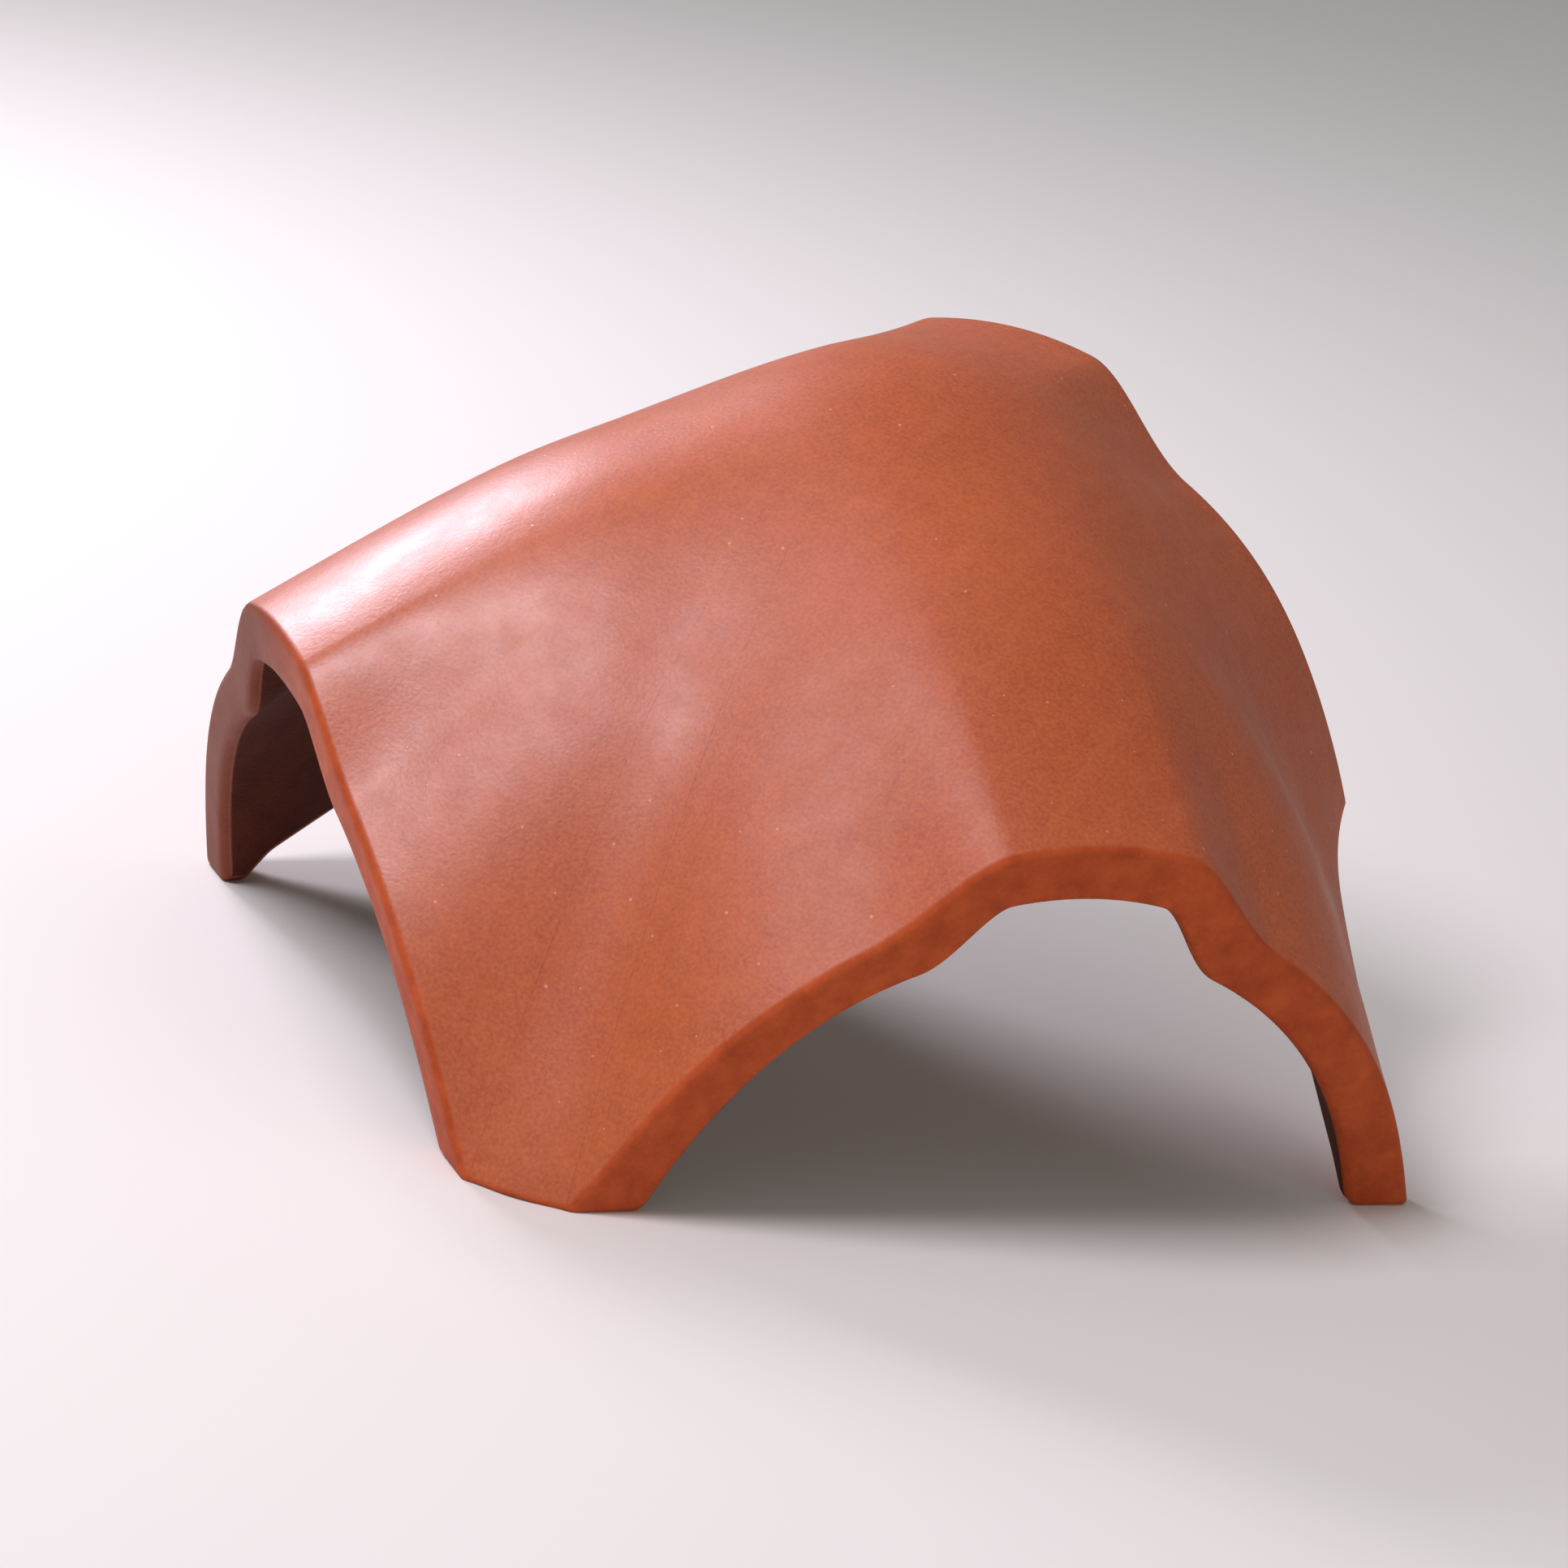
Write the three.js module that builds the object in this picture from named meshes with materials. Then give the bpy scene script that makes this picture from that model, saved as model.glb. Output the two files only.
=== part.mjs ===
import * as THREE from "three";

// Hollow three-way junction tile of fired clay: two hip arms slope down at the front corners and a
// level ridge arm leaves at the back. Millimetres, +Z up, the origin on the floor under the middle
// of the tile's box. The tile is a mirror image of itself across the plane x = 0.

// Driving dimensions
const HALF_WIDTH = 125; // from the middle of a mouth to the outer face at its feet
const MOUTH_HEIGHT = 118.3; // from the feet of a mouth to the top of its roll
const WALL = 20.7; // thickness of the clay
const ROLL_RISE = 19.7; // how far the roll stands above the wings' own curve
const ROLL_FLAT = 26; // half-width where the roll starts to fall
const ROLL_FOOT = 61; // half-width where the roll ends in the shoulder
const HOLLOW_FLAT = 22; // the first of those two inside the hollow
const HOLLOW_FOOT = 43; // and the second
const WING_BOW = 0.75; // share of a wing's fall that is a parabola, the rest is the steep foot
const WING_POWER = 8; // how suddenly a wing turns down into its foot
const ROLL_FADE = 0.9; // share of the roll that melts away at the middle of the tile
const MELT_END = 100; // how far out on a hip the melting is complete
const MELT_START = 200; // how far out on a hip it starts

const HIP_LENGTH = 150; // from the middle of the tile to a hip mouth, at its feet
const HIP_SLOPE = 0.689; // fall of a hip's crest near its mouth for each unit outwards
const DOME_SLOPE = 0.095; // the same, nearer the middle
const DOME_REACH = 101; // from the middle of the tile to the bend between those two slopes
const DOME_BEND = 25; // how widely that bend rounds over
const MOUTH_LEAN = 0.268; // how far a hip mouth leans outwards for each unit up
const RIDGE_LENGTH = 83.1; // from the middle of the tile to the ridge mouth
const RIDGE_FEET = 77.9; // height of the ridge mouth's feet above the floor
const CREST_TOP = 195.3; // height of the ridge arm's crest
const CREST_ROUND = 39; // how widely the crests round over at the middle
const VALLEY_ROUND = 13; // how widely two arms melt into each other

const APRON_TOP = 121; // height of the fill between the two hips
const APRON_HALF_WIDTH = 72; // how far that fill spreads sideways
const FILL_BACK = 60; // how far each fill runs back past the middle
const APRON_BULGE = 3.4; // how far its bottom edge bows out beyond the straight line
const FLANK_RISE = 85; // height of the fill beside the ridge arm, above its own bottom edge
const FLANK_HALF_WIDTH = 288; // how far that fill spreads sideways
const FLANK_BULGE = -3.1; // how far its bottom edge bows out beyond the straight line
const LUG_LENGTH = 8; // flat foot behind a hip mouth, on the side of the ridge
const LUG_STEP = 6; // height of the wall's bottom edge above that foot
const LUG_RUN = 4; // length of the slope from the foot up to that edge
const EDGE_ARCH = 10; // how far that edge arches above a straight climb, half-way up

// How finely the surfaces are cut
const MOUTH_STEPS = 26;
const APRON_STEPS = 6;
const SIDE_STEPS = 10;
const RADIAL_STEPS = 16;
const RADIAL_POWER = 1.6; // above one, the rings lie closer together at the rim
const RIM_CROWDING = 0.35; // share of the rim's spacing that gathers its points at the feet
const HALVINGS = 45; // how often a crossing's interval is halved
const EDGE_SEARCH = [20, 400]; // between these radii the bottom edge is looked for
const FOOT_SEARCH = [40, 200]; // between these half-widths a foot is looked for
const TOP_SEARCH = 400; // below this height a rim is looked for

const RIDGE_AZIMUTH = Math.PI / 2;
const LEFT_HIP_AZIMUTH = -0.75 * Math.PI;
const RIGHT_HIP_AZIMUTH = -0.25 * Math.PI;

// Turns a place given along and across an arm into x and y
function onArm(azimuth, along, across) {
  return [
    along * Math.cos(azimuth) - across * Math.sin(azimuth),
    along * Math.sin(azimuth) + across * Math.cos(azimuth),
  ];
}

const HIP_MOUTH_REACH = HIP_LENGTH + MOUTH_LEAN * MOUTH_HEIGHT;
const HIP_STRETCH = 1 + HIP_SLOPE * MOUTH_LEAN; // an upright fall for each unit in the leaning mouth
const SLOPED_WALL = Math.hypot(1, DOME_SLOPE); // upright thickness for each unit of wall
const APRON_REACH = (HIP_LENGTH + HALF_WIDTH) / Math.SQRT2 + APRON_BULGE;

// The straight line from the right hip's back foot to the ridge mouth's right foot
const HIP_FOOT = new THREE.Vector2(...onArm(RIGHT_HIP_AZIMUTH, HIP_LENGTH, HALF_WIDTH));
const RIDGE_FOOT = new THREE.Vector2(...onArm(RIDGE_AZIMUTH, RIDGE_LENGTH, -HALF_WIDTH));
const FLANK_SPAN = HIP_FOOT.distanceTo(RIDGE_FOOT);
const FLANK_AZIMUTH = RIDGE_FOOT.clone().sub(HIP_FOOT).angle() - Math.PI / 2;

const APRON = { rise: APRON_TOP, reach: APRON_REACH, halfWidth: APRON_HALF_WIDTH };
const FLANK = {
  rise: FLANK_RISE,
  reach: HIP_FOOT.x * Math.cos(FLANK_AZIMUTH) + HIP_FOOT.y * Math.sin(FLANK_AZIMUTH) + FLANK_BULGE,
  halfWidth: FLANK_HALF_WIDTH,
};

const clay = new THREE.MeshStandardMaterial({ color: 0xbe6046, roughness: 0.62, metalness: 0 });
clay.name = "fired_clay";

function mix(from, to, share) {
  return from + (to - from) * share;
}

// The larger of a value and nought, with a rounded corner
function softPositive(value, rounding) {
  return 0.5 * (value + Math.hypot(value, rounding));
}

// Height left at a share of the way from a crest to a foot, 1 at the crest and 0 at the foot
function wingCurve(share) {
  return 1 - WING_BOW * share ** 2 - (1 - WING_BOW) * share ** WING_POWER;
}

// How far an arm has fallen at a distance from its crest. Depth is how far below the outer face
// the surface lies, and calm runs from 0 at the mouth to 1 at the middle of the tile.
function fallFromCrest(side, depth, calm) {
  const height = MOUTH_HEIGHT - depth;
  const rise = ROLL_RISE * (1 - ROLL_FADE * calm);
  const flat = mix(ROLL_FLAT, HOLLOW_FLAT, depth / WALL);
  const foot = mix(ROLL_FOOT, HOLLOW_FOOT, depth / WALL);
  const roll = 1 - THREE.MathUtils.smoothstep(side, flat, foot);
  return height - (height - rise) * wingCurve(side / (HALF_WIDTH - depth)) - rise * roll;
}

function hipHeight(x, y, azimuth, depth) {
  const along = x * Math.cos(azimuth) + y * Math.sin(azimuth);
  const across = y * Math.cos(azimuth) - x * Math.sin(azimuth);
  const outwards = softPositive(along, CREST_ROUND);
  const flattening = (HIP_SLOPE - DOME_SLOPE) * softPositive(DOME_REACH - outwards, DOME_BEND);
  const crest = MOUTH_HEIGHT + HIP_SLOPE * (HIP_MOUTH_REACH - outwards) - flattening;
  const calm = 1 - THREE.MathUtils.smoothstep(outwards, MELT_END, MELT_START);
  const side = Math.hypot(across, outwards - along);
  return crest - depth * SLOPED_WALL - fallFromCrest(side, depth, calm) * HIP_STRETCH;
}

function ridgeHeight(x, y, depth) {
  const calm = 1 - THREE.MathUtils.smoothstep(y, 0, RIDGE_LENGTH);
  const side = Math.hypot(x, softPositive(y, CREST_ROUND) - y);
  return CREST_TOP - depth - fallFromCrest(side, depth, calm);
}

// The fill between two arms: along runs outwards, across runs sideways from its middle
function fillHeight(along, across, depth, fill) {
  const forward = Math.max(along, 0) / (fill.reach - depth);
  const back = Math.max(-along, 0) / FILL_BACK;
  const share = Math.hypot(forward, back, across / fill.halfWidth);
  return (fill.rise - depth) * wingCurve(share);
}

// The right flank's fill, which climbs with its bottom edge from the hip's foot to the ridge's
function flankHeight(x, y, depth) {
  const along = x * Math.cos(FLANK_AZIMUTH) + y * Math.sin(FLANK_AZIMUTH);
  const fromHip = (y - HIP_FOOT.y) * Math.cos(FLANK_AZIMUTH) - (x - HIP_FOOT.x) * Math.sin(FLANK_AZIMUTH);
  const climb = RIDGE_FEET * THREE.MathUtils.clamp(fromHip / FLANK_SPAN, 0, 1);
  return climb + fillHeight(along, fromHip - FLANK_SPAN / 2, depth, FLANK);
}

// The arms and the fills between them melted into one surface
function surfaceHeight(x, y, depth) {
  const heights = [
    hipHeight(x, y, LEFT_HIP_AZIMUTH, depth),
    hipHeight(x, y, RIGHT_HIP_AZIMUTH, depth),
    ridgeHeight(x, y, depth),
    fillHeight(-y, x, depth, APRON),
    flankHeight(x, y, depth),
    flankHeight(-x, y, depth),
  ];
  const highest = Math.max(...heights);
  const swell = heights.reduce((sum, height) => sum + Math.exp((height - highest) / VALLEY_ROUND), 0);
  return highest + VALLEY_ROUND * Math.log(swell);
}

// The place between low and high where a falling function passes through nought
function crossing(falling, low, high) {
  let below = low;
  let above = high;
  for (let i = 0; i < HALVINGS; i += 1) {
    const middle = 0.5 * (below + above);
    if (falling(middle) > 0) below = middle;
    else above = middle;
  }
  return 0.5 * (below + above);
}

// The rim of a mouth, from its right foot to its left as seen from outside
function mouthRim(azimuth, reach, lean, feetHeight, depth) {
  const above = (across, height) => surfaceHeight(...onArm(azimuth, reach + lean * height, across), depth);
  const footAt = (sign) => crossing((side) => above(sign * side, feetHeight) - feetHeight, ...FOOT_SEARCH);
  const start = -footAt(-1);
  const end = footAt(1);
  const rim = [];
  for (let i = 0; i <= MOUTH_STEPS; i += 1) {
    const turn = (2 * i) / MOUTH_STEPS - 1;
    const spread = mix(turn, Math.sin((turn * Math.PI) / 2), RIM_CROWDING);
    const across = mix(start, end, (spread + 1) / 2);
    const atFoot = i === 0 || i === MOUTH_STEPS;
    const height = atFoot
      ? feetHeight
      : crossing((level) => above(across, level) - level, feetHeight, TOP_SEARCH);
    rim.push(new THREE.Vector3(...onArm(azimuth, reach + lean * height, across), height));
  }
  return rim;
}

// The bottom edge from one foot to the next, at the heights that levelAt gives
function bottomEdge(from, to, shares, levelAt, depth) {
  return shares.map((share) => {
    const azimuth = Math.atan2(mix(from.y, to.y, share), mix(from.x, to.x, share));
    const level = levelAt(share);
    const place = (radius) => [radius * Math.cos(azimuth), radius * Math.sin(azimuth)];
    const radius = crossing((r) => surfaceHeight(...place(r), depth) - level, ...EDGE_SEARCH);
    return new THREE.Vector3(...place(radius), level);
  });
}

// The bottom edge from a hip foot up to a ridge foot: a flat lug, a short step and an arched climb
function sideEdge(hipFoot, ridgeFoot, depth) {
  const span = Math.hypot(ridgeFoot.x - hipFoot.x, ridgeFoot.y - hipFoot.y);
  const lugEnd = LUG_LENGTH / span;
  const stepEnd = (LUG_LENGTH + LUG_RUN) / span;
  const shares = [lugEnd];
  for (let i = 0; i < SIDE_STEPS; i += 1) shares.push(mix(stepEnd, 1, i / SIDE_STEPS));
  const levelAt = (share) => {
    if (share <= lugEnd) return 0;
    const climbed = (share - lugEnd) / (1 - lugEnd);
    return mix(LUG_STEP, RIDGE_FEET, climbed) + EDGE_ARCH * 4 * climbed * (1 - climbed);
  };
  return bottomEdge(hipFoot, ridgeFoot, shares, levelAt, depth);
}

// The whole edge of one surface, anticlockwise from above, starting at the left end of the apron
function surfaceEdge(depth) {
  const rightRim = mouthRim(RIGHT_HIP_AZIMUTH, HIP_LENGTH, MOUTH_LEAN, 0, depth);
  const backRim = mouthRim(RIDGE_AZIMUTH, RIDGE_LENGTH, 0, RIDGE_FEET, depth);
  const leftRim = mouthRim(LEFT_HIP_AZIMUTH, HIP_LENGTH, MOUTH_LEAN, 0, depth);
  const apronShares = [];
  for (let i = 1; i < APRON_STEPS; i += 1) apronShares.push(i / APRON_STEPS);
  const apron = bottomEdge(leftRim.at(-1), rightRim[0], apronShares, () => 0, depth);
  const rightSide = sideEdge(rightRim.at(-1), backRim[0], depth);
  const leftSide = sideEdge(leftRim[0], backRim.at(-1), depth).reverse();
  return [...apron, ...rightRim, ...rightSide, ...backRim, ...leftSide, ...leftRim];
}

// One surface as rings that shrink from its edge to the middle
function addSurface(positions, edge, depth) {
  const first = positions.length / 3;
  positions.push(0, 0, surfaceHeight(0, 0, depth));
  for (let ring = 1; ring <= RADIAL_STEPS; ring += 1) {
    const share = 1 - (1 - ring / RADIAL_STEPS) ** RADIAL_POWER;
    for (const point of edge) {
      const x = point.x * share;
      const y = point.y * share;
      positions.push(x, y, ring === RADIAL_STEPS ? point.z : surfaceHeight(x, y, depth));
    }
  }
  return first;
}

function surfaceFaces(first, count, facesUp) {
  const faces = [];
  const corner = (ring, i) => first + 1 + (ring - 1) * count + (i % count);
  const add = (a, b, c) => faces.push(...(facesUp ? [a, b, c] : [a, c, b]));
  for (let i = 0; i < count; i += 1) {
    add(first, corner(1, i), corner(1, i + 1));
    for (let ring = 1; ring < RADIAL_STEPS; ring += 1) {
      add(corner(ring, i), corner(ring + 1, i), corner(ring + 1, i + 1));
      add(corner(ring, i), corner(ring + 1, i + 1), corner(ring, i + 1));
    }
  }
  return faces;
}

function tileGeometry() {
  const outerEdge = surfaceEdge(0);
  const innerEdge = surfaceEdge(WALL);
  const count = outerEdge.length;
  const positions = [];
  const outer = addSurface(positions, outerEdge, 0);
  const inner = addSurface(positions, innerEdge, WALL);
  const faces = [...surfaceFaces(outer, count, true), ...surfaceFaces(inner, count, false)];
  const rimStart = 1 + (RADIAL_STEPS - 1) * count;
  for (let i = 0; i < count; i += 1) {
    const next = (i + 1) % count;
    const [outerHere, outerNext] = [outer + rimStart + i, outer + rimStart + next];
    const [innerHere, innerNext] = [inner + rimStart + i, inner + rimStart + next];
    faces.push(outerHere, innerHere, outerNext);
    faces.push(outerNext, innerHere, innerNext);
  }
  const geometry = new THREE.BufferGeometry();
  geometry.setAttribute("position", new THREE.Float32BufferAttribute(positions, 3));
  geometry.setIndex(faces);
  geometry.computeVertexNormals();
  return geometry;
}

// Moves the tile so that the origin lies under the middle of its box
function centred(geometry) {
  geometry.computeBoundingBox();
  const middle = geometry.boundingBox.getCenter(new THREE.Vector3());
  geometry.translate(-middle.x, -middle.y, -geometry.boundingBox.min.z);
  return geometry;
}

const ridgeJunctionTile = new THREE.Group();
const tile = new THREE.Mesh(centred(tileGeometry()), clay);
tile.name = "ridge_junction_tile";
ridgeJunctionTile.add(tile);

export default ridgeJunctionTile;
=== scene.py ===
"""Hollow three-way ridge junction tile of fired clay, on a pale studio floor under soft light.

Two hip arms slope down at the front corners and a level ridge arm leaves at the back. The tile is a
mirror image of itself across the plane x = 0. Sizes are in millimetres and meshes are in metres.
"""

import math

import bpy
import numpy as np
from mathutils import Matrix, Vector


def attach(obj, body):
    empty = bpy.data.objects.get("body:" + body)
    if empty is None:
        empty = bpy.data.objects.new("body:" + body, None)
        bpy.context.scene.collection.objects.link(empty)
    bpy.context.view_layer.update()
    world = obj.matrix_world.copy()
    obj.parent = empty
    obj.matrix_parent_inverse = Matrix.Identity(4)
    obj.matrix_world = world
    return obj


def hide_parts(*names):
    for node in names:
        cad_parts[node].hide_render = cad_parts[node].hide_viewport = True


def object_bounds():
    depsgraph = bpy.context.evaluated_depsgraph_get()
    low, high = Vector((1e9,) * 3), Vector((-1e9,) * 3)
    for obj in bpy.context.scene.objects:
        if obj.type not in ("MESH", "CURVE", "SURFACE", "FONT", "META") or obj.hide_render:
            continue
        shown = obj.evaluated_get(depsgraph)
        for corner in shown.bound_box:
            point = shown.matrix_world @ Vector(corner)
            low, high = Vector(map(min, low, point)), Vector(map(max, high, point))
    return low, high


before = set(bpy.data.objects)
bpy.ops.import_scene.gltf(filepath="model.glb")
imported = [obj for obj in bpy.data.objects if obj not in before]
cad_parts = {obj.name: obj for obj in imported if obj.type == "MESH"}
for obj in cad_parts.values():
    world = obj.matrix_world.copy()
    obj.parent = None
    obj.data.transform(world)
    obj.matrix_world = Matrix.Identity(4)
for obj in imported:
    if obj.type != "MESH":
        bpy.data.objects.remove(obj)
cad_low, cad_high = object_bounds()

TILE = "ridge_junction_tile"
MM = 0.001

# Driving dimensions of the tile, in millimetres
HALF_WIDTH = 125  # from the middle of a mouth to the outer face at its feet
MOUTH_HEIGHT = 118.3  # from the feet of a mouth to the top of its roll
WALL = 20.7  # thickness of the clay
ROLL_RISE = 19.7  # how far the roll stands above the wings' own curve
ROLL_FLAT = 26  # half-width where the roll starts to fall
ROLL_FOOT = 61  # half-width where the roll ends in the shoulder
HOLLOW_FLAT = 22  # the first of those two inside the hollow
HOLLOW_FOOT = 43  # and the second
WING_BOW = 0.75  # share of a wing's fall that is a parabola, the rest is the steep foot
WING_POWER = 8  # how suddenly a wing turns down into its foot
ROLL_FADE = 0.9  # share of the roll that melts away at the middle of the tile
MELT_END = 100  # how far out on a hip the melting is complete
MELT_START = 200  # how far out on a hip it starts
HIP_LENGTH = 150  # from the middle of the tile to a hip mouth, at its feet
HIP_SLOPE = 0.689  # fall of a hip's crest near its mouth for each unit outwards
DOME_SLOPE = 0.095  # the same, nearer the middle
DOME_REACH = 101  # from the middle of the tile to the bend between those two slopes
DOME_BEND = 25  # how widely that bend rounds over
MOUTH_LEAN = 0.268  # how far a hip mouth leans outwards for each unit up
RIDGE_LENGTH = 83.1  # from the middle of the tile to the ridge mouth
RIDGE_FEET = 77.9  # height of the ridge mouth's feet above the floor
CREST_TOP = 195.3  # height of the ridge arm's crest
CREST_ROUND = 39  # how widely the crests round over at the middle
VALLEY_ROUND = 13  # how widely two arms melt into each other
APRON_TOP = 121  # height of the fill between the two hips
APRON_HALF_WIDTH = 72  # how far that fill spreads sideways
FILL_BACK = 60  # how far each fill runs back past the middle
APRON_BULGE = 3.4  # how far its bottom edge bows out beyond the straight line
FLANK_RISE = 85  # height of the fill beside the ridge arm, above its own bottom edge
FLANK_HALF_WIDTH = 288  # how far that fill spreads sideways
FLANK_BULGE = -3.1  # how far its bottom edge bows out beyond the straight line
LUG_LENGTH = 8  # flat foot behind a hip mouth, on the side of the ridge
LUG_STEP = 6  # height of the wall's bottom edge above that foot
LUG_RUN = 4  # length of the slope from the foot up to that edge
EDGE_ARCH = 10  # how far that edge arches above a straight climb, half-way up

# The finish of the rims and the hand-wiped face, in millimetres
CORNER_ROUND = 1.3  # spread of the rounding where a mouth's rim turns into the bottom edge
OUTER_ARRIS = 2.4  # rounding between the outer face and an end face
INNER_ARRIS = 3.2  # bevel between an end face and the hollow
BEVEL_ROUNDNESS = 0.35  # nought makes that bevel flat, and one as round as the outer arris
WIPE_DEPTH = 0.12  # how deep the wiped face dips between its high spots
WIPE_LENGTHS = (62, 41, 29, 23)  # lengths of the waves that the wiping leaves
WIPE_HEADING = 0.7  # heading of the first wave, in radians from the x axis
WIPE_TURN = 2.4  # turn from each wave to the next, in radians
WIPE_SWAY = 1.3  # how far a wave's crests sway from a straight line, in radians of its phase
WIPE_SWAY_PITCH = 3.1  # radians of that sway in one wave's length
WIPE_MARGIN = 0.12  # share of the way in from the rim over which the dips set in

# How finely the surfaces are cut
MOUTH_STEPS = 240  # along a mouth's rim
RIM_CROWDING = 0.35  # share of those steps' spacing that gathers them at the feet
APRON_STEPS = 40  # along the bottom edge between the hips
SIDE_STEPS = 80  # along the climbing bottom edge beside the ridge arm
LUG_STEPS = 5  # along a lug, and as many up the slope behind it
FINE_STEPS = 4096  # even steps around the whole edge while its corners are rounded
AROUND = 720  # steps around the finished edge
OUTER_RINGS = 60
INNER_RINGS = 34
RING_POWER = 1.6  # above one, the rings lie closer together at the rim
ARRIS_STEPS = 4
FACE_STEPS = 4
BEND_SHARE = 0.45  # share of the steps around that go to the bends
BEND_REACH = 8  # fine steps to each side over which a bend is measured
BEND_LIMIT = 97  # a bend sharper than this percentage of all the others counts as one of that sharpness

# Where edges and rims are looked for
HALVINGS = 45  # enough to close in on a place exactly
FOOT_SEARCH = (40, 200)  # half-widths of a mouth
EDGE_SEARCH = (20, 400)  # distances from the middle of the tile
TOP_SEARCH = 400  # height above the floor
SLOPE_STEP = 0.2  # step to each side over which a slope is measured

RIDGE_AZIMUTH = math.pi / 2
LEFT_HIP_AZIMUTH = -0.75 * math.pi
RIGHT_HIP_AZIMUTH = -0.25 * math.pi


def on_arm(azimuth, along, across):
    """Turns places given along and across an arm into x and y."""
    return (
        along * np.cos(azimuth) - across * np.sin(azimuth),
        along * np.sin(azimuth) + across * np.cos(azimuth),
    )


HIP_MOUTH_REACH = HIP_LENGTH + MOUTH_LEAN * MOUTH_HEIGHT
HIP_STRETCH = 1 + HIP_SLOPE * MOUTH_LEAN
SLOPED_WALL = math.hypot(1, DOME_SLOPE)
APRON_REACH = (HIP_LENGTH + HALF_WIDTH) / math.sqrt(2) + APRON_BULGE

# The straight line from the right hip's back foot to the ridge mouth's right foot
HIP_FOOT = np.array(on_arm(RIGHT_HIP_AZIMUTH, HIP_LENGTH, HALF_WIDTH))
RIDGE_FOOT = np.array(on_arm(RIDGE_AZIMUTH, RIDGE_LENGTH, -HALF_WIDTH))
FLANK_SPAN = np.hypot(*(RIDGE_FOOT - HIP_FOOT))
FLANK_AZIMUTH = math.atan2(*(RIDGE_FOOT - HIP_FOOT)[::-1]) - math.pi / 2
FLANK_OUTWARDS = np.array([math.cos(FLANK_AZIMUTH), math.sin(FLANK_AZIMUTH)])
FLANK_REACH = HIP_FOOT @ FLANK_OUTWARDS + FLANK_BULGE


def smoothstep(value, low, high):
    """0 below low, 1 above high, and a smooth S between them."""
    share = np.clip((value - low) / (high - low), 0, 1)
    return share * share * (3 - 2 * share)


def soft_positive(value, rounding):
    """The larger of a value and nought, with a rounded corner."""
    return 0.5 * (value + np.hypot(value, rounding))


def wing_curve(share):
    """Height left at a share of the way from a crest to a foot: a parabola with a steep end."""
    return 1 - WING_BOW * share**2 - (1 - WING_BOW) * share**WING_POWER


def fall_from_crest(side, depth, calm):
    """How far an arm has fallen at a distance from its crest: the wing's curve with a roll on top.

    Depth is how far below the outer face the surface lies, and calm runs from 0 at the mouth to 1
    at the middle of the tile, where part of the roll has melted away.
    """
    height = MOUTH_HEIGHT - depth
    rise = ROLL_RISE * (1 - ROLL_FADE * calm)
    flat = ROLL_FLAT + (HOLLOW_FLAT - ROLL_FLAT) * depth / WALL
    foot = ROLL_FOOT + (HOLLOW_FOOT - ROLL_FOOT) * depth / WALL
    roll = 1 - smoothstep(side, flat, foot)
    return height - (height - rise) * wing_curve(side / (HALF_WIDTH - depth)) - rise * roll


def hip_height(x, y, azimuth, depth):
    """A sloping crest that rounds over at the middle, less the fall to its sides."""
    along = x * math.cos(azimuth) + y * math.sin(azimuth)
    across = y * math.cos(azimuth) - x * math.sin(azimuth)
    outwards = soft_positive(along, CREST_ROUND)
    flattening = (HIP_SLOPE - DOME_SLOPE) * soft_positive(DOME_REACH - outwards, DOME_BEND)
    crest = MOUTH_HEIGHT + HIP_SLOPE * (HIP_MOUTH_REACH - outwards) - flattening
    calm = 1 - smoothstep(outwards, MELT_END, MELT_START)
    side = np.hypot(across, outwards - along)
    return crest - depth * SLOPED_WALL - fall_from_crest(side, depth, calm) * HIP_STRETCH


def ridge_height(x, y, depth):
    """A level crest, less the fall to its sides and in front."""
    calm = 1 - smoothstep(y, 0, RIDGE_LENGTH)
    side = np.hypot(x, soft_positive(y, CREST_ROUND) - y)
    return CREST_TOP - depth - fall_from_crest(side, depth, calm)


def fill_height(along, across, depth, rise, reach, half_width):
    """The dome between two arms: the wing's curve over the distance in stretched axes."""
    forward = np.maximum(along, 0) / (reach - depth)
    back = np.maximum(-along, 0) / FILL_BACK
    share = np.sqrt(forward**2 + back**2 + (across / half_width) ** 2)
    return (rise - depth) * wing_curve(share)


def flank_height(x, y, depth):
    """The right flank's dome, which climbs with its bottom edge from the hip's foot to the ridge's."""
    along = x * FLANK_OUTWARDS[0] + y * FLANK_OUTWARDS[1]
    from_hip = (y - HIP_FOOT[1]) * FLANK_OUTWARDS[0] - (x - HIP_FOOT[0]) * FLANK_OUTWARDS[1]
    climb = RIDGE_FEET * np.clip(from_hip / FLANK_SPAN, 0, 1)
    middle = from_hip - FLANK_SPAN / 2
    return climb + fill_height(along, middle, depth, FLANK_RISE, FLANK_REACH, FLANK_HALF_WIDTH)


def surface_height(x, y, depth):
    """The arms and the fills between them melted together: the logarithm of their summed powers."""
    heights = np.array([
        hip_height(x, y, LEFT_HIP_AZIMUTH, depth),
        hip_height(x, y, RIGHT_HIP_AZIMUTH, depth),
        ridge_height(x, y, depth),
        fill_height(-y, x, depth, APRON_TOP, APRON_REACH, APRON_HALF_WIDTH),
        flank_height(x, y, depth),
        flank_height(-x, y, depth),
    ])
    highest = heights.max(axis=0)
    return highest + VALLEY_ROUND * np.log(np.exp((heights - highest) / VALLEY_ROUND).sum(axis=0))


def crossing(falling, low, high):
    """The place between low and high where a falling function passes through nought, by halving."""
    for _ in range(HALVINGS):
        middle = (low + high) / 2
        before = falling(middle) > 0
        low = np.where(before, middle, low)
        high = np.where(before, high, middle)
    return (low + high) / 2


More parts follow.
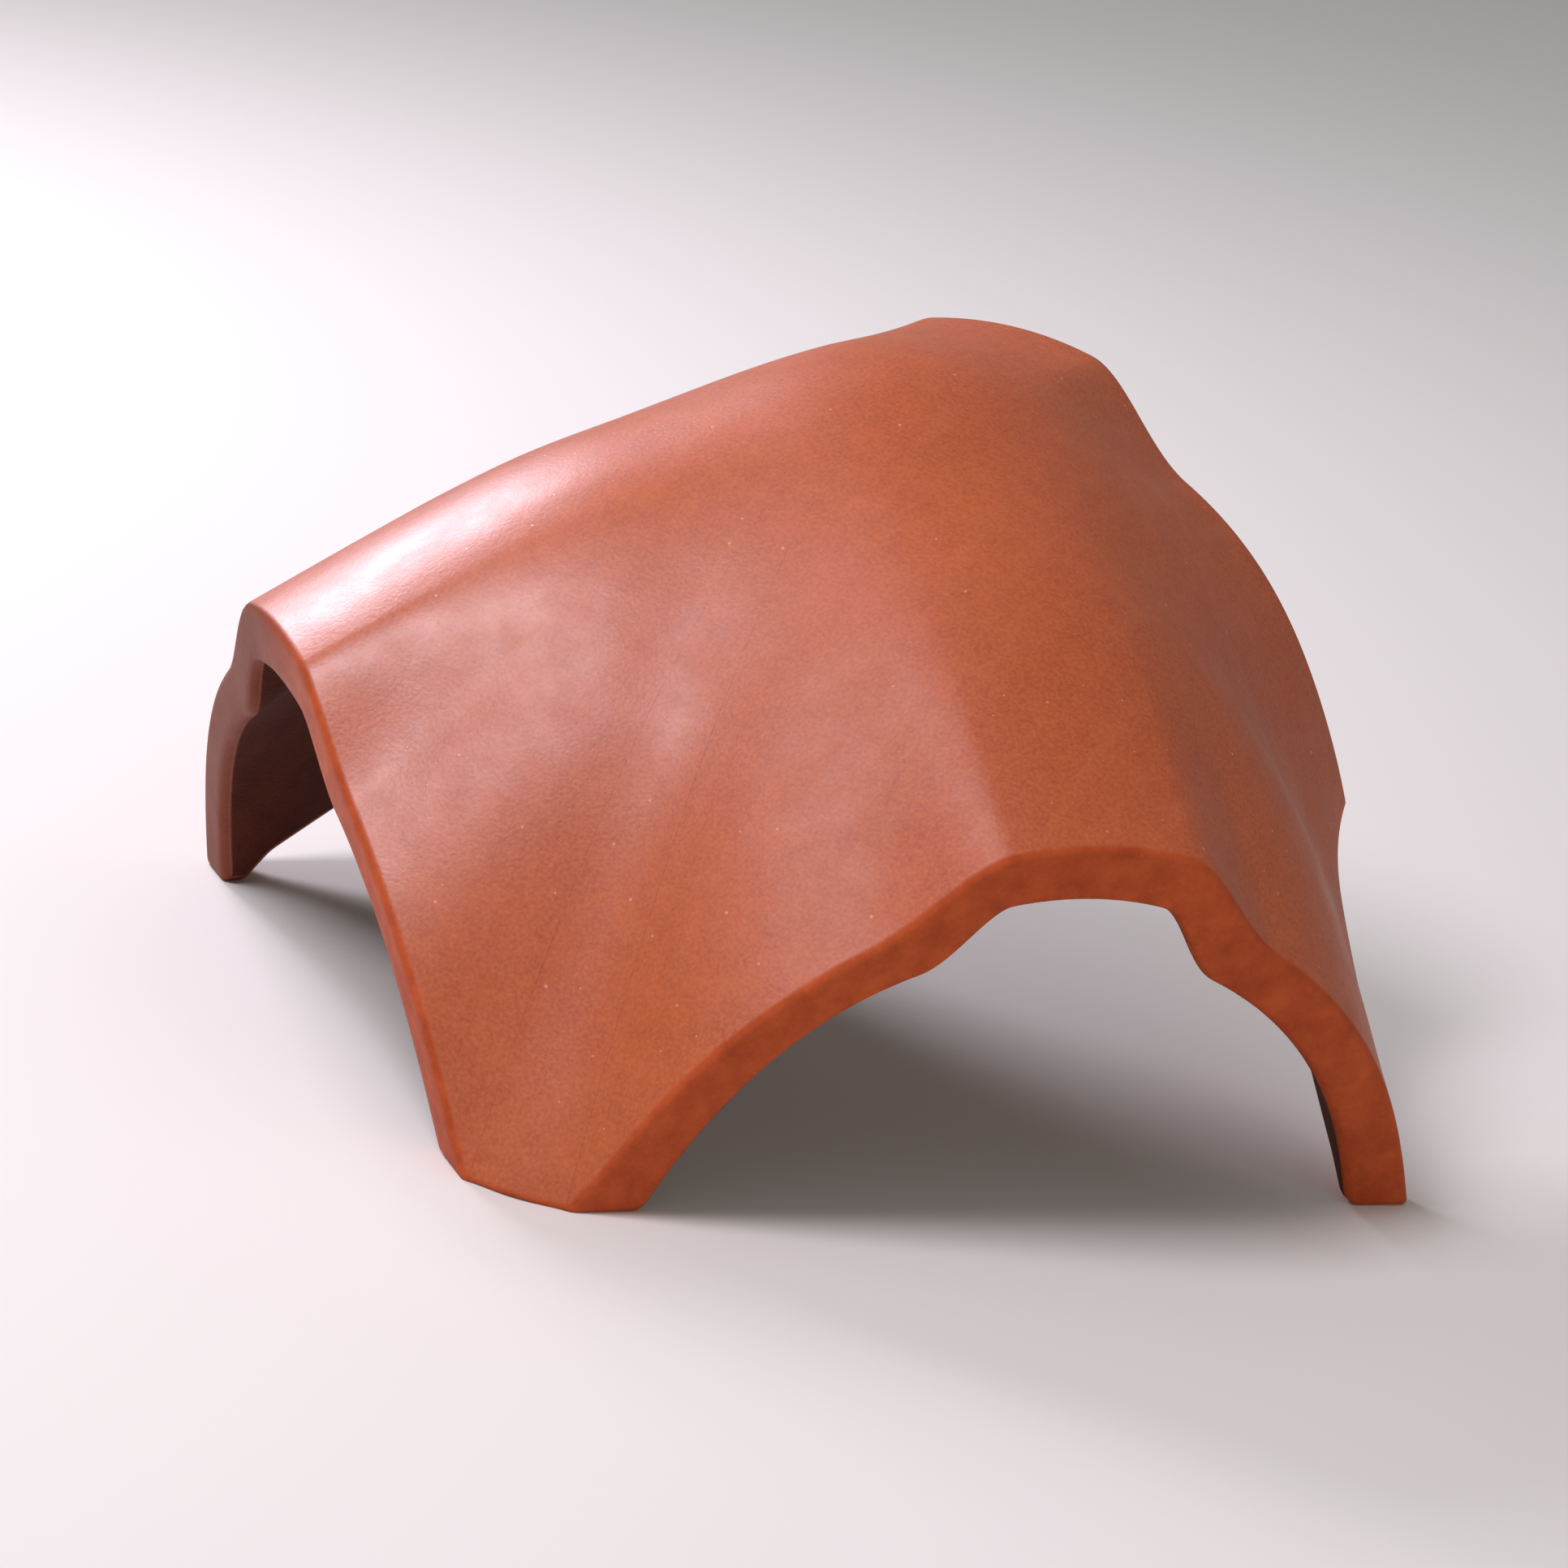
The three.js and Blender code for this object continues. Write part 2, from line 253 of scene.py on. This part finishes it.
def mouth_rim(azimuth, reach, lean, feet_height, depth):
    """A mouth's rim, right foot to left: where the surface meets the mouth's leaning plane."""

    def above(across, height):
        return surface_height(*on_arm(azimuth, reach + lean * height, across), depth)

    sides = np.array([-1.0, 1.0])
    narrowest, widest = FOOT_SEARCH
    feet = crossing(
        lambda side: above(sides * side, feet_height) - feet_height, narrowest + 0 * sides, widest
    )
    turn = np.linspace(-1, 1, MOUTH_STEPS + 1)
    spread = (1 - RIM_CROWDING) * turn + RIM_CROWDING * np.sin(turn * math.pi / 2)
    across = np.interp(spread, [-1, 1], feet * sides)
    height = crossing(lambda level: above(across, level) - level, feet_height + 0 * across, TOP_SEARCH)
    height[[0, -1]] = feet_height
    return np.stack([*on_arm(azimuth, reach + lean * height, across), height], axis=1)


def bottom_edge(start, end, shares, levels, depth):
    """The bottom edge from one foot to the next: where the surface comes down to the given levels."""
    chord = start[:2] + (end - start)[:2] * shares[:, None]
    azimuth = np.arctan2(chord[:, 1], chord[:, 0])

    def below(radius):
        return surface_height(radius * np.cos(azimuth), radius * np.sin(azimuth), depth) - levels

    nearest, farthest = EDGE_SEARCH
    radius = crossing(below, nearest + 0 * azimuth, farthest)
    return np.stack([radius * np.cos(azimuth), radius * np.sin(azimuth), levels], axis=1)


def side_edge(hip_foot, ridge_foot, depth):
    """The bottom edge beside the ridge arm: a flat lug, a short step and an arched climb."""
    span = np.hypot(*(ridge_foot - hip_foot)[:2])
    lug_end = LUG_LENGTH / span
    step_end = (LUG_LENGTH + LUG_RUN) / span
    shares = np.concatenate([
        np.linspace(0, lug_end, LUG_STEPS + 1)[1:],
        np.linspace(lug_end, step_end, LUG_STEPS + 1)[1:-1],
        np.linspace(step_end, 1, SIDE_STEPS, endpoint=False),
    ])
    climbed = np.clip((shares - lug_end) / (1 - lug_end), 0, 1)
    climb = climbed * (RIDGE_FEET - LUG_STEP) + EDGE_ARCH * 4 * climbed * (1 - climbed)
    step = np.clip((shares - lug_end) / (step_end - lug_end), 0, 1) * LUG_STEP
    return bottom_edge(hip_foot, ridge_foot, shares, climb + step, depth)


def surface_edge(depth):
    """The whole edge of one surface, anticlockwise from above, starting at the left of the apron."""
    right_rim = mouth_rim(RIGHT_HIP_AZIMUTH, HIP_LENGTH, MOUTH_LEAN, 0, depth)
    back_rim = mouth_rim(RIDGE_AZIMUTH, RIDGE_LENGTH, 0, RIDGE_FEET, depth)
    left_rim = mouth_rim(LEFT_HIP_AZIMUTH, HIP_LENGTH, MOUTH_LEAN, 0, depth)
    shares = np.linspace(0, 1, APRON_STEPS + 1)[1:-1]
    apron = bottom_edge(left_rim[-1], right_rim[0], shares, 0 * shares, depth)
    right_side = side_edge(right_rim[-1], back_rim[0], depth)
    left_side = side_edge(left_rim[0], back_rim[-1], depth)[::-1]
    return np.concatenate([apron, right_rim, right_side, back_rim, left_side, left_rim])


def closed_interpolation(at, places, curve, length):
    """A closed curve of points read at other places along it, by straight lines between its points."""
    return np.stack([np.interp(at, places, column, period=length) for column in curve.T], axis=1)


def rounded_edges():
    """The outer and inner edges with rounded corners, paired point by point.

    Both are read at even steps of their mean length, smoothed by a bell curve along it, and then
    read again at steps that lie closer together in the bends.
    """
    edges = [surface_edge(0), surface_edge(WALL)]
    steps = np.mean([np.linalg.norm(np.roll(e, -1, axis=0) - e, axis=1) for e in edges], axis=0)
    places = np.concatenate([[0], np.cumsum(steps)[:-1]])
    length = steps.sum()
    even = np.linspace(0, length, FINE_STEPS, endpoint=False)
    waves = np.fft.rfftfreq(FINE_STEPS, length / FINE_STEPS) * 2 * math.pi * CORNER_ROUND
    bell = np.exp(-0.5 * waves**2)[:, None]
    fine = [closed_interpolation(even, places, e, length) for e in edges]
    smooth = [np.fft.irfft(np.fft.rfft(f, axis=0) * bell, FINE_STEPS, axis=0) for f in fine]
    neighbours = np.roll(smooth[0], -BEND_REACH, axis=0) + np.roll(smooth[0], BEND_REACH, axis=0)
    bend = np.linalg.norm(neighbours - 2 * smooth[0], axis=1)
    bend = np.minimum(bend, np.percentile(bend, BEND_LIMIT))
    weight = (1 - BEND_SHARE) / FINE_STEPS + BEND_SHARE * bend / bend.sum()
    measure = np.concatenate([[0], np.cumsum(weight)[:-1]]) / weight.sum()
    chosen = np.interp(np.arange(AROUND) / AROUND, measure, even)
    return [closed_interpolation(chosen, even, s, length) for s in smooth]


def unit(vectors):
    """Vectors brought to a length of one."""
    return vectors / np.linalg.norm(vectors, axis=-1, keepdims=True)


def inwards(edge, depth):
    """The direction on a surface that leads from its edge inwards, square to the edge."""
    x, y = edge[:, 0], edge[:, 1]
    step, run = SLOPE_STEP, 2 * SLOPE_STEP
    slope_x = (surface_height(x + step, y, depth) - surface_height(x - step, y, depth)) / run
    slope_y = (surface_height(x, y + step, depth) - surface_height(x, y - step, depth)) / run
    upwards = unit(np.stack([-slope_x, -slope_y, np.ones_like(x)], axis=1))
    tangent = unit(np.roll(edge, -1, axis=0) - np.roll(edge, 1, axis=0))
    return unit(np.cross(upwards, tangent))


def bow(start, control, end, steps):
    """A parabola from start to end that leans towards control, as steps + 1 rows of points."""
    t = np.linspace(0, 1, steps + 1)[:, None, None]
    return (1 - t) ** 2 * start + 2 * t * (1 - t) * control + t**2 * end


def wiped(x, y):
    """How deep the wiped face dips: the mean of a few sine waves, each turned from the last.

    A wave's phase sways, by another sine along its crests, so that the crests aren't straight.
    """
    dip = np.zeros_like(x)
    for number, length in enumerate(WIPE_LENGTHS):
        heading = WIPE_HEADING + WIPE_TURN * number
        phase = (x * math.cos(heading) + y * math.sin(heading)) * 2 * math.pi / length
        sideways = (y * math.cos(heading) - x * math.sin(heading)) / length
        phase = phase + WIPE_SWAY * np.sin(sideways * WIPE_SWAY_PITCH)
        dip += (1 + np.sin(phase + number)) / (2 * len(WIPE_LENGTHS))
    return WIPE_DEPTH * dip


def rings(edge, count, depth):
    """A surface as rings that grow from near the middle to its edge, the edge itself left out.

    A ring is the edge's plan shrunk towards the middle, lifted to the surface. On the outer face
    it also dips where the face was wiped.
    """
    share = 1 - (1 - np.arange(1, count) / count) ** RING_POWER
    x = share[:, None] * edge[None, :, 0]
    y = share[:, None] * edge[None, :, 1]
    z = surface_height(x, y, depth)
    if depth == 0:
        z -= wiped(x, y) * smoothstep(1 - share, 0, WIPE_MARGIN)[:, None]
    return np.stack([x, y, z], axis=2)


def ring_faces(first, count):
    """Quads between rings of points that follow each other from index first."""
    ring = np.arange(count - 1)[:, None] * AROUND + first
    here = np.arange(AROUND)
    beside = (here + 1) % AROUND
    corners = [ring + here, ring + AROUND + here, ring + AROUND + beside, ring + beside]
    return np.stack(np.broadcast_arrays(*corners), axis=2).reshape(-1, 4)


def cap_faces(pole, ring_start, faces_up):
    """Triangles between a middle point and the ring around it."""
    here = np.arange(AROUND) + ring_start
    beside = (np.arange(AROUND) + 1) % AROUND + ring_start
    order = [here, beside] if faces_up else [beside, here]
    return np.stack([np.full(AROUND, pole), *order], axis=1)


def tile_mesh():
    """The tile as one closed skin: the outer face's rings, over the rim, and the hollow's rings back.

    The rim's section is a rounded outer arris, a flat end face and a bevelled inner arris.
    """
    outer_edge, inner_edge = rounded_edges()
    across = unit(inner_edge - outer_edge)
    outer_in = inwards(outer_edge, 0)
    inner_in = inwards(inner_edge, WALL)
    outer_start = outer_edge + OUTER_ARRIS * outer_in
    outer_start[:, 2] = surface_height(outer_start[:, 0], outer_start[:, 1], 0)
    inner_end = inner_edge + INNER_ARRIS * inner_in
    inner_end[:, 2] = surface_height(inner_end[:, 0], inner_end[:, 1], WALL)
    face_start = outer_edge + OUTER_ARRIS * across
    face_end = inner_edge - INNER_ARRIS * across
    bevel_bow = BEVEL_ROUNDNESS * inner_edge + (1 - BEVEL_ROUNDNESS) / 2 * (face_end + inner_end)
    face_share = np.linspace(0, 1, FACE_STEPS + 1)[1:-1, None, None]
    section = np.concatenate([
        bow(outer_start, outer_edge, face_start, ARRIS_STEPS),
        face_start + (face_end - face_start) * face_share,
        bow(face_end, bevel_bow, inner_end, ARRIS_STEPS),
    ])
    outer = rings(outer_start, OUTER_RINGS, 0)
    inner = rings(inner_end, INNER_RINGS, WALL)[::-1]
    layers = np.concatenate([outer, section, inner])
    poles = np.array([[0, 0, surface_height(0, 0, 0)], [0, 0, surface_height(0, 0, WALL)]])
    poles[0, 2] -= wiped(np.zeros(1), np.zeros(1))[0]
    points = np.concatenate([layers.reshape(-1, 3), poles])
    last = len(points) - 1
    quads = ring_faces(0, len(layers))
    triangles = np.concatenate([
        cap_faces(last - 1, 0, True),
        cap_faces(last, (len(layers) - 1) * AROUND, False),
    ])
    points[:, 1] += cad_high.y / MM - RIDGE_LENGTH
    rim_share = np.zeros(len(layers))
    rim_share[len(outer) + 1 : len(outer) + len(section) - 1] = 1
    hollow_share = np.zeros(len(layers))
    hollow_share[len(outer) + len(section) - 1 :] = 1
    shares = {
        "end_face": np.append(np.repeat(rim_share, AROUND), [0, 0]),
        "hollow": np.append(np.repeat(hollow_share, AROUND), [0, 1]),
    }
    return points * MM, quads, triangles, shares


def mesh_object(name, points, quads, triangles, shares):
    """Puts whole arrays of points and faces, and a number for each point, into a new mesh."""
    mesh = bpy.data.meshes.new(name)
    loops = np.concatenate([quads.ravel(), triangles.ravel()]).astype(np.int32)
    sizes = np.concatenate([np.full(len(quads), 4), np.full(len(triangles), 3)])
    starts = np.concatenate([[0], np.cumsum(sizes)[:-1]]).astype(np.int32)
    mesh.vertices.add(len(points))
    mesh.vertices.foreach_set("co", points.astype(np.float32).ravel())
    mesh.loops.add(len(loops))
    mesh.loops.foreach_set("vertex_index", loops)
    mesh.polygons.add(len(sizes))
    mesh.polygons.foreach_set("loop_start", starts)
    mesh.polygons.foreach_set("use_smooth", np.ones(len(sizes), bool))
    for attribute, values in shares.items():
        layer = mesh.attributes.new(attribute, "FLOAT", "POINT")
        layer.data.foreach_set("value", values.astype(np.float32))
    mesh.update(calc_edges=True)
    mesh.validate()
    made = bpy.data.objects.new(name, mesh)
    bpy.context.scene.collection.objects.link(made)
    return made


def linear(hex_colour):
    """An sRGB hex colour as linear red, green, blue and alpha."""
    parts = np.array([int(hex_colour[i : i + 2], 16) for i in (1, 3, 5)]) / 255
    light = np.where(parts <= 0.04045, parts / 12.92, ((parts + 0.055) / 1.055) ** 2.4)
    return (*light.tolist(), 1.0)


def add(tree, kind, inputs=None, **settings):
    """Adds a node. Settings are its properties, and inputs give a socket a value or a node's output."""
    made = tree.nodes.new("ShaderNode" + kind)
    for name, value in settings.items():
        setattr(made, name, value)
    for socket, value in (inputs or {}).items():
        if isinstance(value, bpy.types.NodeSocket):
            tree.links.new(value, made.inputs[socket])
        else:
            made.inputs[socket].default_value = value
    return made


# Sockets of a colour Mix node, which has others of the same names
SHARE, FIRST, SECOND, MIXED = 0, 6, 7, 2

# Sizes in the clay, in millimetres
CLOUD_SIZE = 80
MOTTLE_SIZE = 9
GRAIN_SIZE = 1.1
STREAK_WIDTH = 5
STREAK_SHRINK = 0.045  # a streak's width as a share of its length
GRIT_SPACING = 5
SHEEN_SIZE = 16

# Stretches across the tile, as x in metres
LEFT_END_PAINTED_SHADE = (-0.14, -0.10)  # where the painted shade on the left mouth's end face gives way
LEFT_ARM = (-0.11, 0.08)  # where the left arm's finer skin gives way


def fired_clay():
    """Red earthenware, pressed in a mould and wiped smooth by hand, fired without a glaze.

    The wiping leaves a thin skin of fine slip, which gives the eye a soft broad sheen, finest on the
    left arm, and faint long streaks. The kiln leaves cloudy tones, and pale grit shows through as
    sparse specks. The trimmed end faces are duller, the left one darkened with painted shade, and the
    hollow is rough and coloured dark as painted shade.
    """
    material = bpy.data.materials.new("earthenware_wiped_smooth")
    material.use_nodes = True
    tree = material.node_tree
    tree.nodes.clear()
    place = add(tree, "TexCoord").outputs["Object"]
    end_face = add(tree, "Attribute", attribute_name="end_face").outputs["Fac"]
    hollow = add(tree, "Attribute", attribute_name="hollow").outputs["Fac"]
    from_left = add(tree, "SeparateXYZ", {"Vector": place}).outputs["X"]

    def noise(size, detail=3.0, vector=place, roughness=0.5):
        settings = {"Vector": vector, "Scale": 1 / (size * MM), "Detail": detail, "Roughness": roughness}
        return add(tree, "TexNoise", settings).outputs["Fac"]

    def span(value, low, high, to_low=0.0, to_high=1.0):
        settings = {"Value": value, 1: low, 2: high, 3: to_low, 4: to_high}
        return add(tree, "MapRange", settings).outputs["Result"]

    def mixed(share, first, second):
        inputs = {SHARE: share, FIRST: first, SECOND: second}
        return add(tree, "Mix", inputs, data_type="RGBA").outputs[MIXED]

    def combined(operation, first, second):
        return add(tree, "Math", {0: first, 1: second}, operation=operation).outputs[0]

    # Broad kiln clouds, mottling, and grain, which is drawn coarser than real so that it shows
    clouds = span(noise(CLOUD_SIZE, 2), 0.35, 0.65)
    mottle = span(noise(MOTTLE_SIZE, 4, roughness=0.6), 0.32, 0.68)
    grain = span(noise(GRAIN_SIZE, 2), 0.25, 0.75)
    body = mixed(clouds, linear("#AE4921"), linear("#BA542A"))
    body = mixed(combined("MULTIPLY", mottle, 0.42), body, linear("#963818"))
    body = mixed(combined("MULTIPLY", grain, 0.55), body, linear("#D07440"))

    # Streaks from the wiping, down the front and over the crest, many times as long as they are wide
    stretched = add(tree, "Mapping", {
        "Vector": place, "Rotation": (0.5, 0.0, 0.35), "Scale": (1, STREAK_SHRINK, STREAK_SHRINK),
    })
    streaks = span(noise(STREAK_WIDTH, 3, stretched.outputs["Vector"], 0.55), 0.5, 0.72)
    body = mixed(combined("MULTIPLY", streaks, 0.08), body, linear("#D5805C"))

    # Pale grit: four cells of ten hold a grain, up to about a millimetre across
    cells = add(tree, "TexVoronoi", {"Vector": place, "Scale": 1 / (GRIT_SPACING * MM)})
    pick = add(tree, "SeparateColor", {"Color": cells.outputs["Color"]})
    radius = span(pick.outputs["Red"], 0.6, 1.0, 0.0, 0.11)
    speck = span(combined("SUBTRACT", cells.outputs["Distance"], radius), -0.02, 0.02, 1.0, 0.0)
    body = mixed(combined("MULTIPLY", speck, 0.55), body, linear("#E2A98B"))

    # End faces are trimmed with a wire, the left one is darkened with painted shade, and the hollow keeps
    #     # the mould's rough face, coloured dark as painted shade
    trimmed_and_painted_shade = mixed(mottle, linear("#C4562C"), linear("#A4401E"))
    # Painted shade: the left mouth's end face is darkened towards #4A1A10 by its place along x
    trimmed_and_painted_shade = mixed(span(from_left, *LEFT_END_PAINTED_SHADE, 0.92, 0.0), trimmed_and_painted_shade, linear("#4A1A10"))
    # Painted shade: the hollow's colour is made dark to stand in for the shade inside it
    hollow_painted_shade = mixed(mottle, linear("#4E1F12"), linear("#5C2718"))
    colour = mixed(combined("MULTIPLY", end_face, 0.75), body, trimmed_and_painted_shade)
    colour = mixed(hollow, colour, hollow_painted_shade)

    # The left arm's skin is finer, so it shines more. End faces and the hollow shine little
    rough_share = combined("MAXIMUM", end_face, hollow)
    polish = span(from_left, *LEFT_ARM, 0.8, 0.5)
    polish = combined("MULTIPLY", polish, span(rough_share, 0.0, 1.0, 1.0, 0.25))
    dullness = span(noise(SHEEN_SIZE, 4, roughness=0.6), 0.3, 0.7, 0.0, 0.09)
    dullness = combined("ADD", dullness, span(from_left, *LEFT_ARM, 0.35, 0.46))
    dullness = combined("ADD", dullness, combined("MULTIPLY", end_face, 0.12))
    dullness = combined("ADD", dullness, combined("MULTIPLY", hollow, 0.3))

    # Relief in millimetres: grain, mottling, grit that stands proud, and a coarser face in the hollow
    relief = combined("ADD", combined("MULTIPLY", grain, 0.03), combined("MULTIPLY", mottle, 0.035))
    relief = combined("ADD", relief, combined("MULTIPLY", speck, 0.05))
    relief = combined("ADD", relief, combined("MULTIPLY", combined("MULTIPLY", hollow, grain), 0.15))
    bump = add(tree, "Bump", {"Strength": 1.0, "Distance": MM, "Height": relief})

    shader = add(tree, "BsdfPrincipled", {
        "Base Color": colour,
        "Roughness": dullness,
        "Specular IOR Level": polish,
        "Normal": bump.outputs["Normal"],
    })
    add(tree, "OutputMaterial", {"Surface": shader.outputs["BSDF"]})
    return material


# The studio
FLOOR_HALF_WIDTH = 9.0  # metres
LIGHTS_AIM = 0.1  # height in metres of the point that every light looks at
SKY_STRENGTH = 0.26


def painted_floor():
    """Matt white painted board, rolled on evenly, which gives an even pale ground."""
    material = bpy.data.materials.new("white_board_painted_matt")
    material.use_nodes = True
    shader = material.node_tree.nodes["Principled BSDF"]
    shader.inputs["Base Color"].default_value = linear("#ECEAE3")
    shader.inputs["Roughness"].default_value = 0.9
    return material


def make_floor():
    """A flat square floor, far wider than the view."""
    half = FLOOR_HALF_WIDTH
    mesh = bpy.data.meshes.new("studio_floor")
    corners = [(-half, -half, 0), (half, -half, 0), (half, half, 0), (-half, half, 0)]
    mesh.from_pydata(corners, [], [(0, 1, 2, 3)])
    floor = bpy.data.objects.new("studio_floor", mesh)
    floor.data.materials.append(painted_floor())
    bpy.context.scene.collection.objects.link(floor)


def direction(azimuth, elevation):
    """A unit vector, with the azimuth from +X towards +Y, in degrees."""
    turn, rise = math.radians(azimuth), math.radians(elevation)
    return Vector((math.cos(turn) * math.cos(rise), math.sin(turn) * math.cos(rise), math.sin(rise)))


def soft_light(name, azimuth, elevation, distance, size, power, colour):
    """A square soft box that looks at the middle of the tile. Its places are in degrees and metres."""
    light = bpy.data.lights.new(name, "AREA")
    light.shape = "SQUARE"
    light.size = size
    light.energy = power
    light.color = linear(colour)[:3]
    holder = bpy.data.objects.new(name, light)
    towards = direction(azimuth, elevation)
    holder.location = Vector((0, 0, LIGHTS_AIM)) + towards * distance
    holder.rotation_euler = towards.to_track_quat("Z", "Y").to_euler()
    bpy.context.scene.collection.objects.link(holder)


def make_light():
    """Two cool boxes on the left draw the sheen, and a wide warm one and a pale sky fill the rest."""
    soft_light(
        "window_behind_left",
        azimuth=152, elevation=31, distance=1.4, size=0.42, power=12, colour="#F6EEFF",
    )
    soft_light(
        "soft_box_overhead_left",
        azimuth=-122, elevation=57, distance=1.5, size=0.55, power=15, colour="#FAF2FF",
    )
    soft_light(
        "fill_front_right",
        azimuth=-38, elevation=15, distance=3.0, size=2.0, power=12.5, colour="#FFF0E2",
    )
    world = bpy.data.worlds.new("pale_studio")
    world.use_nodes = True
    background = world.node_tree.nodes["Background"]
    background.inputs["Color"].default_value = linear("#FFFFFF")
    background.inputs["Strength"].default_value = SKY_STRENGTH
    bpy.context.scene.world = world
    bpy.context.scene.view_settings.view_transform = "Standard"


# The camera's stand, in degrees and metres, about the middle where the three arms meet
CAMERA_AZIMUTH = -68.04
CAMERA_ELEVATION = 17.7
CAMERA_ROLL = 8.25
CAMERA_DISTANCE = 2.069
CAMERA_ASIDE = -0.008
CAMERA_ABOVE = 0.0674
CAMERA_LENS = 161.3  # millimetres
SENSOR = 36  # millimetres


def make_camera():
    """Looks along the photograph's line of sight, rolled as the photograph is."""
    back = direction(CAMERA_AZIMUTH, CAMERA_ELEVATION)
    level = Vector((-math.sin(math.radians(CAMERA_AZIMUTH)), math.cos(math.radians(CAMERA_AZIMUTH)), 0))
    above = back.cross(level)
    roll = math.radians(CAMERA_ROLL)
    right = level * math.cos(roll) + above * math.sin(roll)
    up = above * math.cos(roll) - level * math.sin(roll)
    middle = Vector((0, cad_high.y - RIDGE_LENGTH * MM, 0))
    eye = middle + back * CAMERA_DISTANCE + right * CAMERA_ASIDE + up * CAMERA_ABOVE
    data = bpy.data.cameras.new("camera")
    data.lens = CAMERA_LENS
    data.sensor_width = SENSOR
    camera = bpy.data.objects.new("camera", data)
    turned = Matrix((right, up, back)).transposed().to_4x4()
    camera.matrix_world = Matrix.Translation(eye) @ turned
    bpy.context.scene.collection.objects.link(camera)
    bpy.context.scene.camera = camera


make_camera()
make_light()
make_floor()
tile = mesh_object("junction_tile", *tile_mesh())
tile.data.materials.append(fired_clay())
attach(tile, "root")
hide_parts(TILE)
